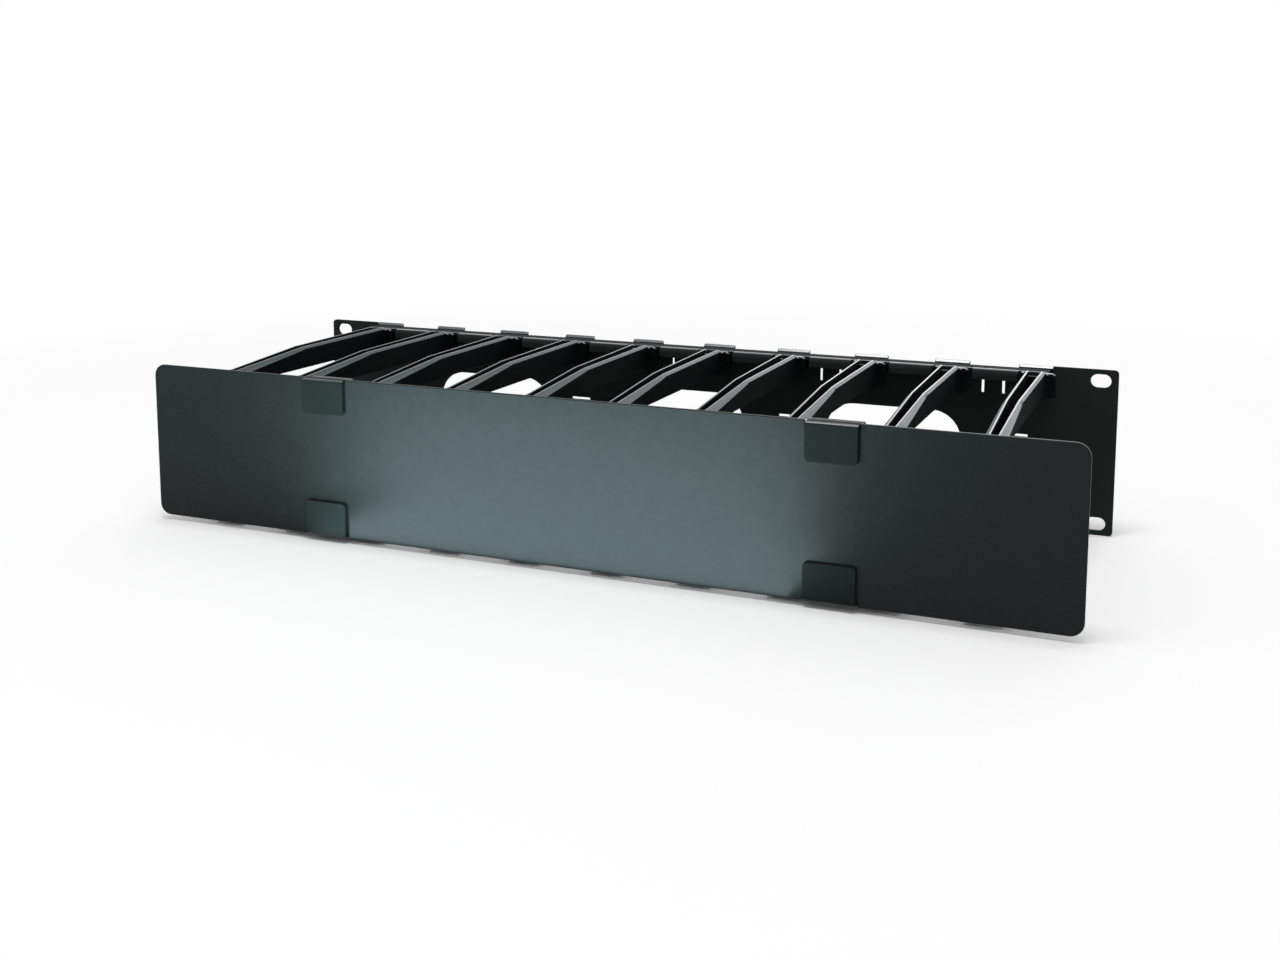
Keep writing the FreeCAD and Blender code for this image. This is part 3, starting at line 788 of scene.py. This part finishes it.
def finger_root(s):
    """Root plate, block inside the folded channel, and tongue turned up as a hook.

    A rounded rib stands along the plate's right edge. A knob beside it is half an
    ellipsoid: rings whose radius goes as the sine, and their depth as the cosine, of
    the angle from its pole.
    """
    left, right = groove_sides(-s.root_front - s.root_plate, s)
    low = s.rim_level - s.root_depth
    foot = low - 0.6 * MM
    dip = s.rim_level - s.root_dip
    top, edge = s.root_top, s.root_right
    plate = [
        (-s.root_left, foot), (edge, foot), (edge, top), (right, top),
        (right, dip), (left, dip), (left, top), (-s.root_left, top),
    ]
    plate_radii = np.array([0.6, 0.6, 0, 0.5, 0.5, 0.5, 0.5, 0]) * MM
    plate_radii[[2, 7]] = s.root_corner
    face = -s.root_front
    back = face + s.root_plate
    inside = back - OVERLAP
    block_top, chamfer = top - 2.25 * MM, 1.25 * MM
    block = [
        (inside, low), (0.0, low), (0.0, block_top - chamfer), (-chamfer, block_top),
        (inside, block_top),
    ]
    tongue_low, tongue_high, tongue_front = top - 8.15 * MM, top - 4.55 * MM, -3.6 * MM
    hook_front, hook_tip, hook_back, rise = 2.0 * MM, 3.2 * MM, 4.2 * MM, 1.2 * MM
    hook = [
        (tongue_front, tongue_low), (hook_back, tongue_low), (hook_back, top + rise),
        (hook_tip, top + rise), (hook_front, top), (hook_front, tongue_high),
        (tongue_front, tongue_high),
    ]
    around = np.linspace(0.0, 2 * math.pi, 16, endpoint=False)
    polar = np.append(np.linspace(0.05, math.pi / 2, 6), math.pi / 2)
    circle = np.stack([np.cos(around), np.sin(around)], axis=-1)
    knob = circle * (np.sin(polar) * s.knob)[:, None, None]
    knob = knob + (edge - 4.4 * MM, top - 1.0 * MM)
    depth = face - np.cos(polar) * 0.7 * MM
    depth[-1] = face + OVERLAP
    rib_left, rib_right = edge - 1.9 * MM, edge - 0.1 * MM
    rib_low, rib_high = top - 6.5 * MM, top - 0.15 * MM
    rib = [(rib_left, rib_low), (rib_right, rib_low), (rib_right, rib_high), (rib_left, rib_high)]
    return (
        skin(placed(knob, depth, "Y")),
        bar(rib, 0.85 * MM, face - 0.75 * MM, face + 0.8 * MM, 0.7 * MM, "Y", 5),
        bar(plate, plate_radii, face, back, 0.45 * MM, "Y", 5),
        bar(block, 0.4 * MM, -s.block_half, s.block_half, 0.3 * MM, "X"),
        bar(hook, 0.45 * MM, -s.hook_half, s.hook_half, 0.45 * MM, "X"),
    )


# ---- operators
class BuildOperator:
    """What all the building operators share."""

    bl_options = {"REGISTER", "UNDO"}

    @staticmethod
    def settings(context):
        """The scene's own settings of the cable manager."""
        return context.scene.cable_manager


class CABLE_OT_back_plate(BuildOperator, bpy.types.Operator):
    """Build the folded back plate"""

    bl_idname = "cable.back_plate"
    bl_label = "Back plate"

    def execute(self, context):
        s = self.settings(context)
        finish = s.finish
        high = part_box("back_plate")[1]
        lows = [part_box("finger_top_%02d" % i)[0][0] for i in FINGERS]
        surface = folded_plate(s.plate, high[0], high[2], np.array(lows) + s.finger.hook_half)
        paint = powder_coat("plate_powder_coat", finish.plate, finish.plate_rough, 0.06)
        # painted highlight: the lips' outer folds take a lighter colour with a polished coat
        smooth_and_painted_highlight = powder_coat("painted_highlight_fold", finish.wear_and_painted_highlight, finish.rubbed_rough, 1.0, 1.0)
        make_piece("folded_back_plate", surface, "rack_frame", "plate_paint", paint,
                   "back_plate", (smooth_and_painted_highlight, self.lip_fold))
        return {"FINISHED"}

    @staticmethod
    def lip_fold(centre, normal):
        """The outer folds of both lips, forward of the channels and past their webs, painted
        lighter as a highlight.
        """
        front, high = -9.2 * MM, 42.0 * MM
        return (centre[:, 1] < front) & (np.abs(centre[:, 2]) > high) & (normal[:, 1] < 0.1)


class CABLE_OT_cover(BuildOperator, bpy.types.Operator):
    """Build the cover, a flat sheet with rounded corners and four notches"""

    bl_idname = "cable.cover"
    bl_label = "Cover"

    def execute(self, context):
        s = self.settings(context)
        low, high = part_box("cover")
        half_x, half_z = high[0], high[2]
        inner = half_z - s.sheet.notch_depth
        upper = []
        for side in reversed(SIDES):
            clip_low, clip_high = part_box("clip_upper_" + side)
            x0 = clip_low[0] - s.sheet.notch_play
            x1 = clip_high[0] + s.sheet.notch_play
            upper += [(x1, half_z), (x1, inner), (x0, inner), (x0, half_z)]
        lower = [(-x, -z) for x, z in upper]
        corners = [(half_x, -half_z), (half_x, half_z)] + upper
        corners += [(-half_x, half_z), (-half_x, -half_z)] + lower
        corner = s.sheet.cover_corner
        notch_corners = [0.6 * MM] * 8
        radii = ([corner] * 2 + notch_corners) * 2
        surface = bar(corners, radii, low[1], high[1], s.sheet.cover_round, "Y", 8)
        finish = s.finish
        paint = powder_coat("cover_powder_coat", finish.cover, finish.cover_rough, 0.15)
        make_piece("cover_sheet", surface, "cover_door", "cover_paint", paint, "cover")
        return {"FINISHED"}


class CABLE_OT_fingers(BuildOperator, bpy.types.Operator):
    """Build the twenty moulded fingers"""

    bl_idname = "cable.fingers"
    bl_label = "Fingers"

    def execute(self, context):
        s = self.settings(context)
        flats = np.array([s.sheet.rod_radius, s.sheet.rod_flat]) + s.finger.socket_play
        points, faces = joined(
            finger_arm(s.finger),
            finger_head(s.finger, flats),
            *finger_root(s.finger),
        )
        finish = s.finish
        plastic = moulded_plastic("finger_plastic", finish.finger, finish.finger_rough, 0.03)
        # painted highlight: rims, ledges, knob and rib that face up take a lighter colour as well
        # as more gloss
        smooth_and_painted_highlight = moulded_plastic("painted_highlight_rim", finish.wear_and_painted_highlight, finish.rubbed_rough, 1.0, 0.6)
        ledge_painted_highlight = moulded_plastic("painted_highlight_ledge", finish.wear_and_painted_highlight, finish.ledge_rough, 0.5)
        rim, ledge = self.painted_highlight_tests(s.finger)
        for i in FINGERS:
            middle = (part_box("finger_top_%02d" % i)[0][0] + s.finger.hook_half, 0, 0)
            for row, node_row, turn in ROWS:
                make_piece("%s_finger_%02d" % (row, i), (points * turn + middle, faces),
                           "rack_frame", "finger_plastic", plastic,
                           "finger_%s_%02d" % (node_row, i), (ledge_painted_highlight, ledge), (smooth_and_painted_highlight, rim))
        return {"FINISHED"}

    @staticmethod
    def painted_highlight_tests(s):
        """Tests for the faces painted lighter as a highlight: the rims' tops, with the root's
        knob and rib, and the ledges.
        """
        rim_band, ledge_band, least_stud, stud, root = np.array([1.0, 3.8, 0.05, 1.0, 1.5]) * MM

        def drop_and_up(centre, normal):
            drop = rim_height(centre[:, 1], s) - np.abs(centre[:, 2])
            return drop, normal[:, 2] * np.sign(centre[:, 2])

        def rim(centre, normal):
            drop, up = drop_and_up(centre, normal)
            past_root = -centre[:, 1] - s.root_front
            raised = (past_root > least_stud) & (past_root < stud) & (up > 0.15)
            return (drop < rim_band) & (up > np.where(past_root > root, 0.9, 0.3)) | raised

        def ledge(centre, normal):
            drop, up = drop_and_up(centre, normal)
            return (drop < ledge_band) & (up > 0.3) & (-centre[:, 1] > s.root_front)

        return rim, ledge


class CABLE_OT_clips(BuildOperator, bpy.types.Operator):
    """Build the four hinge clips"""

    bl_idname = "cable.clips"
    bl_label = "Hinge clips"

    def execute(self, context):
        s = self.settings(context)
        finish = s.finish
        plastic = moulded_plastic("clip_plastic", finish.clip, finish.clip_rough, 0.04)
        smooth_and_painted_highlight = moulded_plastic("rubbed_clip", finish.clip, finish.rubbed_rough, 0.6, 0.3)
        for side in SIDES:
            low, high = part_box("clip_upper_" + side)
            points, faces = self.clip(s.sheet, low, high)
            middle = ((low[0] + high[0]) / 2, 0, 0)
            for row, _, turn in ROWS:
                make_piece("%s_clip_%s" % (row, side), (points * turn + middle, faces),
                           "cover_door", "clip_plastic", plastic,
                           "clip_%s_%s" % (row, side), (smooth_and_painted_highlight, self.brow))
        return {"FINISHED"}

    @staticmethod
    def brow(centre, normal):
        """The pad's front edge along the cover's own edge."""
        return (normal[:, 1] < -0.1) & (normal[:, 2] * np.sign(centre[:, 2]) > 0.3)

    @staticmethod
    def clip(s, low, high):
        """Pad, web, leaf and jaw as one outline in Y and Z, carried along X.

        The jaw is an arc of the outer radius and back an arc of the bore, both open
        between the mouth's lips. The pad's free edge rises near the ends as a quarter
        circle does, which rounds its corners.
        """
        axis = hinge_line()
        outer = s.jaw_bore + s.jaw_wall
        front, top, pad_low = low[1], high[2], low[2]
        cover_low, cover_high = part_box("cover")
        sheet_front, sheet_back = cover_low[1], cover_high[1]
        leaf_back = sheet_back + s.clip_pad
        leaf_low = top - s.clip_leaf
        web = top - s.clip_web
        lip_out = math.asin((s.jaw_mouth + 0.7 * MM) / outer)
        lip_in = math.asin(s.jaw_mouth / s.jaw_bore)
        neck = math.pi - math.asin(s.jaw_mouth / outer)
        arcs = np.concatenate([
            axis + radius * np.stack([np.cos(turns), np.sin(turns)], -1)
            for radius, turns in (
                (outer, np.linspace(-math.pi / 2, -lip_out, 9)),
                (s.jaw_bore, np.linspace(-lip_in, lip_in - 2 * math.pi, 25)),
                (outer, np.linspace(lip_out, neck, 17)),
            )
        ])
        hook = [
            (front, pad_low), (sheet_front, pad_low), (sheet_front, web), (sheet_back, web),
            (sheet_back, leaf_low), (leaf_back, leaf_low), (leaf_back, axis[1] - outer),
        ]
        brow = [(leaf_back, axis[1] + s.jaw_mouth), (leaf_back, top), (front, top)]
        outline = np.concatenate([hook, arcs, brow])
        radii = np.concatenate([
            np.array([0.5, 0.2, 0.2, 0.2, 0.5, 0.5, 0.6]) * MM,
            np.zeros(len(arcs)),
            np.array([0.5, 0.4, 1.5]) * MM,
        ])
        half = (high[0] - low[0]) / 2
        edge = s.clip_round
        near_end = np.unique(np.concatenate([
            radius * (1 - np.cos(np.linspace(0.0, math.pi / 2, count)))
            for radius, count in ((edge, 4), (s.clip_corner, 8))
        ]).round(7))
        stations = np.concatenate([-half + near_end, (half - near_end)[::-1]])
        depth = np.concatenate([near_end, near_end[::-1]])

        def quarter(radius):
            return radius - np.sqrt(np.maximum(radius**2 - np.maximum(radius - depth, 0) ** 2, 0))

        shapes = np.repeat(outline[None], len(stations), axis=0)
        shapes[:, :2, 1] += quarter(s.clip_corner)[:, None]
        return loft(shapes, radii, stations, "X", quarter(edge))


class CABLE_OT_rods(BuildOperator, bpy.types.Operator):
    """Build the four flat-sided hinge rods"""

    bl_idname = "cable.rods"
    bl_label = "Hinge rods"

    def execute(self, context):
        s = self.settings(context)
        steel = black_steel("rod_black_steel", s.finish.rod)
        turn = np.linspace(0.0, 2 * math.pi, 48, endpoint=False)
        for row in ("upper", "lower"):
            for side in SIDES:
                node = "hinge_rod_%s_%s" % (row, side)
                low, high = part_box(node)
                middle = (low + high) / 2
                stations, inset = rounding(low[0], high[0], 0.3 * MM)
                radius = (s.sheet.rod_radius - inset)[:, None]
                flat = (s.sheet.rod_flat - inset)[:, None]
                y = middle[1] + radius * np.cos(turn)
                z = middle[2] + np.clip(radius * np.sin(turn), -flat, flat)
                surface = skin(placed(np.stack([y, z], axis=-1), stations, "X"))
                make_piece("hinge_bar_%s_%s" % (row, side), surface, "rack_frame",
                           "rod_steel", steel, node)
        return {"FINISHED"}


class CABLE_OT_stage(BuildOperator, bpy.types.Operator):
    """Lay the floor and set the lamps, the world and the camera"""

    bl_idname = "cable.stage"
    bl_label = "Stage"

    def execute(self, context):
        s = self.settings(context).stage
        self.floor(context, s)
        self.world(context, s)
        for name, watts, size, place in (
            ("overhead_lamp", s.key, (1.0, 0.85), (0.0, -0.3, 1.9)),
            ("back_lamp", s.back, (1.5, 0.5), (0.3, 1.5, 0.5)),
            ("side_lamp", s.side, (1.2, 1.2), (-1.3, -1.2, 0.9)),
        ):
            self.lamp(context, name, watts, size, place, (0, -0.08, 0))
        self.low_lamps(context, s.glow, 5)
        self.camera(context, s)
        return {"FINISHED"}

    @staticmethod
    def floor(context, s):
        """A disc: one face through points at a radius and even angles. Where it is
        looked at, it turns white in itself between two distances from the middle."""
        radius, count, level = 5.0, 96, CAD_BOX[0][2]
        white_from, white_to = 0.36, 0.85
        turn = np.linspace(0.0, 2 * math.pi, count, endpoint=False)
        ring = [radius * np.cos(turn), radius * np.sin(turn), np.full(count, level)]
        mesh = bpy.data.meshes.new("floor")
        mesh.from_pydata(np.stack(ring, axis=-1).tolist(), [], [list(range(count))])
        floor = bpy.data.objects.new("floor", mesh)
        context.scene.collection.objects.link(floor)
        material, tree, shader, place = new_material("pale_floor", s.floor, 0.9, specular=0.0)
        vary_colour(tree, shader, noise(tree, place, 3.0), s.floor, 0.004)
        away = tree.nodes.new("ShaderNodeVectorMath")
        away.operation = "LENGTH"
        tree.links.new(place, away.inputs[0])
        far = spread(tree, away.outputs["Value"], white_from, white_to, 0.0, 1.0)
        white = node_of(tree, "ShaderNodeEmission", Strength=1.0, Color=(1, 1, 1, 1))
        surface = mixed(tree, combine(tree, "MULTIPLY", far, looked_at(tree)),
                        shader.outputs[0], white.outputs[0])
        tree.links.new(surface, tree.nodes["Material Output"].inputs["Surface"])
        mesh.materials.append(material)

    @staticmethod
    def world(context, s):
        """White to the eye and in reflections, and a softer fill on matt surfaces."""
        world = bpy.data.worlds.new("studio")
        context.scene.world = world
        world.use_nodes = True
        tree = world.node_tree
        tree.nodes.clear()
        skies = [node_of(tree, "ShaderNodeBackground", Strength=strength, Color=(1, 1, 1, 1))
                 for strength in (s.fill, 1.0)]
        surface = mixed(tree, looked_at(tree), *[sky.outputs[0] for sky in skies])
        node_of(tree, "ShaderNodeOutputWorld", Surface=surface)

    @classmethod
    def low_lamps(cls, context, watts, count):
        """Strips beside one another just above the floor, which the cover mirrors to the
        camera.

        Each strip is level and faces up. Near and far are its Y, left end and right end
        where the row of strips begins and ends, and it changes in proportion between.
        """
        near, far = np.array([-0.169, -0.11, 0.125]), np.array([-0.6, -0.435, 0.0])
        height = -0.0425
        depth = (near[0] - far[0]) / count
        whole = depth * count * (near[2] - near[1] + far[2] - far[1]) / 2
        for i in range(count):
            y, left, right = near + (far - near) * (i + 0.5) / count
            place = ((left + right) / 2, y, height)
            share = watts * (right - left) * depth / whole
            cls.lamp(context, "low_lamp_%d" % (i + 1), share, (right - left, depth), place,
                     (place[0], place[1], 1.0), tint=(0.72, 0.95, 1.0))

    @staticmethod
    def lamp(context, name, watts, size, place, aim, tint=(1.0, 1.0, 1.0)):
        """A soft rectangular lamp that the camera doesn't see."""
        data = bpy.data.lights.new(name, "AREA")
        data.shape = "RECTANGLE"
        data.energy = watts
        data.color = tint
        data.size, data.size_y = size
        lamp = bpy.data.objects.new(name, data)
        lamp.location = place
        way = Vector(aim) - Vector(place)
        lamp.rotation_euler = way.to_track_quat("-Z", "Y").to_euler()
        lamp.visible_camera = False
        context.scene.collection.objects.link(lamp)

    @staticmethod
    def camera(context, s):
        """A camera that looks down and to the left at the cover's front."""
        down, left = 0.1298, 0.3959
        data = bpy.data.cameras.new("camera")
        data.lens = s.lens
        data.sensor_width = 36.0
        data.shift_y = -0.1406
        data.clip_start = 0.01
        data.clip_end = 50.0
        camera = bpy.data.objects.new("camera", data)
        camera.location = (0.28858, -0.75349, 0.17410)
        camera.rotation_euler = (math.pi / 2 - down, 0.0, left)
        context.scene.collection.objects.link(camera)
        context.scene.camera = camera
        context.scene.view_settings.view_transform = "Standard"


BUILDERS = (
    CABLE_OT_back_plate, CABLE_OT_fingers, CABLE_OT_rods,
    CABLE_OT_clips, CABLE_OT_cover, CABLE_OT_stage,
)


class CABLE_PT_panel(bpy.types.Panel):
    """Sizes, finishes and the building steps"""

    bl_idname = "CABLE_PT_panel"
    bl_label = "Cable Manager"
    bl_space_type = "VIEW_3D"
    bl_region_type = "UI"
    bl_category = "Cable Manager"

    def draw(self, context):
        settings = context.scene.cable_manager
        for operator in BUILDERS:
            self.layout.operator(operator.bl_idname)
        for name in ("finger", "plate", "sheet", "finish", "stage"):
            group = getattr(settings, name)
            box = self.layout.box()
            box.label(text=name.capitalize())
            for prop in group.__annotations__:
                box.prop(group, prop)


CLASSES = (
    FingerSizes, PlateSizes, SheetSizes, FinishColours, StageSettings, CableManager,
    *BUILDERS, CABLE_PT_panel,
)


def register():
    for item in CLASSES:
        bpy.utils.register_class(item)
    bpy.types.Scene.cable_manager = bpy.props.PointerProperty(type=CableManager)


def unregister():
    del bpy.types.Scene.cable_manager
    for item in reversed(CLASSES):
        bpy.utils.unregister_class(item)


def main():
    """Registers the add-on, and builds every piece and the stage."""
    register()
    bpy.ops.cable.back_plate()
    bpy.ops.cable.fingers()
    bpy.ops.cable.rods()
    bpy.ops.cable.clips()
    bpy.ops.cable.cover()
    bpy.ops.cable.stage()


if __name__ == "__main__":
    main()
